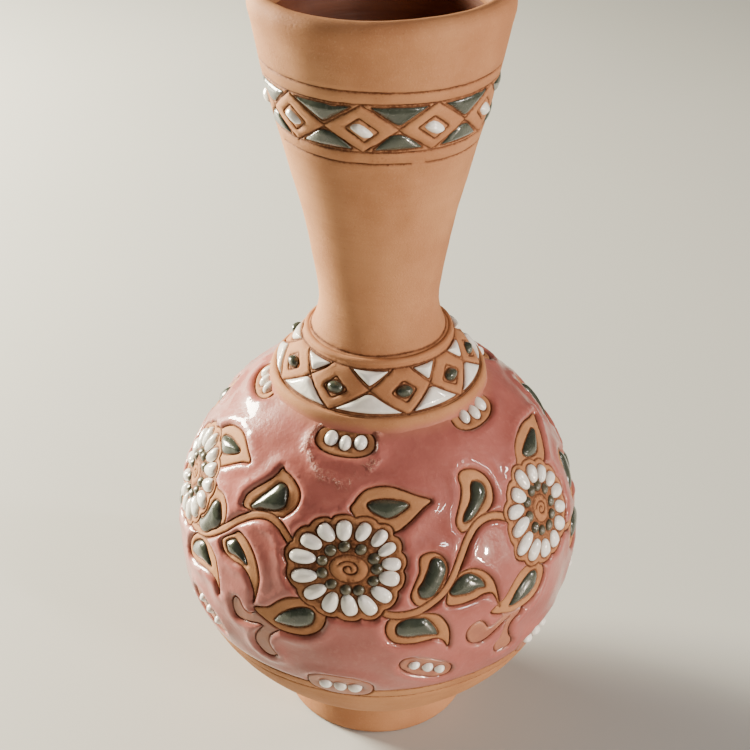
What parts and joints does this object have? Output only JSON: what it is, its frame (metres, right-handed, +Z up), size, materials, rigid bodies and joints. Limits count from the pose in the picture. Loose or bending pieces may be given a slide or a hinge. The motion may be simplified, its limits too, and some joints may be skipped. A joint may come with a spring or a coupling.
{
  "type": "carved clay vase",
  "caption": "Round clay vase on a low foot with a flaring neck, carved flowers, leaves and diamonds in coloured enamel over a pink glaze.",
  "frame": {"origin": "centre of the foot on the table", "axes": "+Z up along the vase's axis; -Y faces the viewer of the front; +X to the viewer's right"},
  "size_m": [0.1513, 0.151, 0.285],
  "materials": {
    "terracotta": "matte",
    "pink_glaze": "gloss",
    "green_enamel": "gloss",
    "white_enamel": "gloss"
  },
  "bodies": {
    "root": {"foot": "terracotta", "globe": "terracotta", "collar": "terracotta", "collar_border": "terracotta", "neck_bead": "terracotta", "neck": "terracotta", "lip": "terracotta", "pink_glaze": "pink_glaze", "collar_white_upper": "white_enamel", "collar_white_lower": "white_enamel", "collar_green_studs": "green_enamel", "neck_green_upper": "green_enamel", "neck_green_lower": "green_enamel", "neck_white_diamonds": "white_enamel", "flower_1_petals": "white_enamel", "flower_2_petals": "white_enamel", "flower_3_petals": "white_enamel", "flower_4_petals": "white_enamel", "flower_5_petals": "white_enamel", "flower_1_beads": "green_enamel", "flower_2_beads": "green_enamel", "flower_3_beads": "green_enamel", "flower_4_beads": "green_enamel", "flower_5_beads": "green_enamel", "flower_1_leaves": "green_enamel", "flower_2_leaves": "green_enamel", "flower_3_leaves": "green_enamel", "flower_4_leaves": "green_enamel", "flower_5_leaves": "green_enamel", "sprig_1_leaves": "green_enamel", "sprig_2_leaves": "green_enamel", "sprig_3_leaves": "green_enamel", "sprig_4_leaves": "green_enamel", "sprig_5_leaves": "green_enamel", "shoulder_pill_dots": "white_enamel", "waist_pill_dots": "white_enamel", "hem_pill_dots": "white_enamel"}
  },
  "joints": []
}
